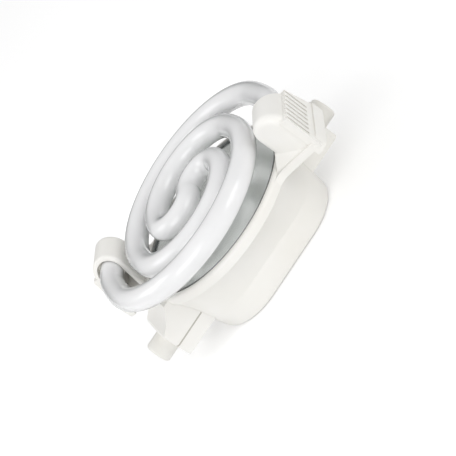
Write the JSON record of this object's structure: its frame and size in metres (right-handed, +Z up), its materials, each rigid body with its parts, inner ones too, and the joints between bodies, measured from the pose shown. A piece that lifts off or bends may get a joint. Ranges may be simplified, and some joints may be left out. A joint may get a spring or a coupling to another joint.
{
  "type": "double-ended spiral fluorescent lamp",
  "caption": "Flat spiral fluorescent tube on a slim plastic ballast housing with a recessed contact cap at each end, for a linear lamp holder.",
  "frame": {"origin": "centre of the flat underside of the lower housing, the lamp resting on it", "axes": "+X along the lamp axis through both end caps, +Z up through the middle of the spiral tube"},
  "size_m": [0.078, 0.0579, 0.0335],
  "materials": {
    "housing": "satin moulded",
    "tube": "gloss glass with white phosphor inside",
    "reflector": "polished",
    "cap": "smooth",
    "contact": "nickel plated",
    "seal": "matte",
    "bare_wire": "tinned",
    "mains_wire": "matte sleeve",
    "board": "paper laminate",
    "ferrite": "matte",
    "bobbin": "matte",
    "copper": "enamelled wire",
    "can": "shrunk sleeve",
    "film_cap": "dipped resin",
    "switch": "moulded",
    "diode": "moulded",
    "resistor": "lacquered"
  },
  "bodies": {
    "root": {"upper_housing": "housing", "lower_housing": "housing", "discharge_tube": "tube", "reflector_plate": "reflector", "end_cap_right": "cap", "end_cap_left": "cap", "contact_right": "contact", "contact_left": "contact", "tube_seal_right": "seal", "tube_seal_left": "seal", "tube_wires_right": "bare_wire", "tube_wires_left": "bare_wire", "mains_wire_right": "mains_wire", "mains_wire_left": "mains_wire", "circuit_board": "board", "choke_core": "ferrite", "choke_bobbin": "bobbin", "choke_winding": "copper", "smoothing_capacitor": "can", "ring_core": "ferrite", "ring_windings": "copper", "transistor_high": "switch", "transistor_low": "switch", "resonant_capacitor": "film_cap", "blocking_capacitor": "film_cap", "rectifier_diodes": "diode", "fusible_resistor": "resistor", "trigger_diac": "diode", "base_resistors": "resistor"}
  },
  "joints": []
}
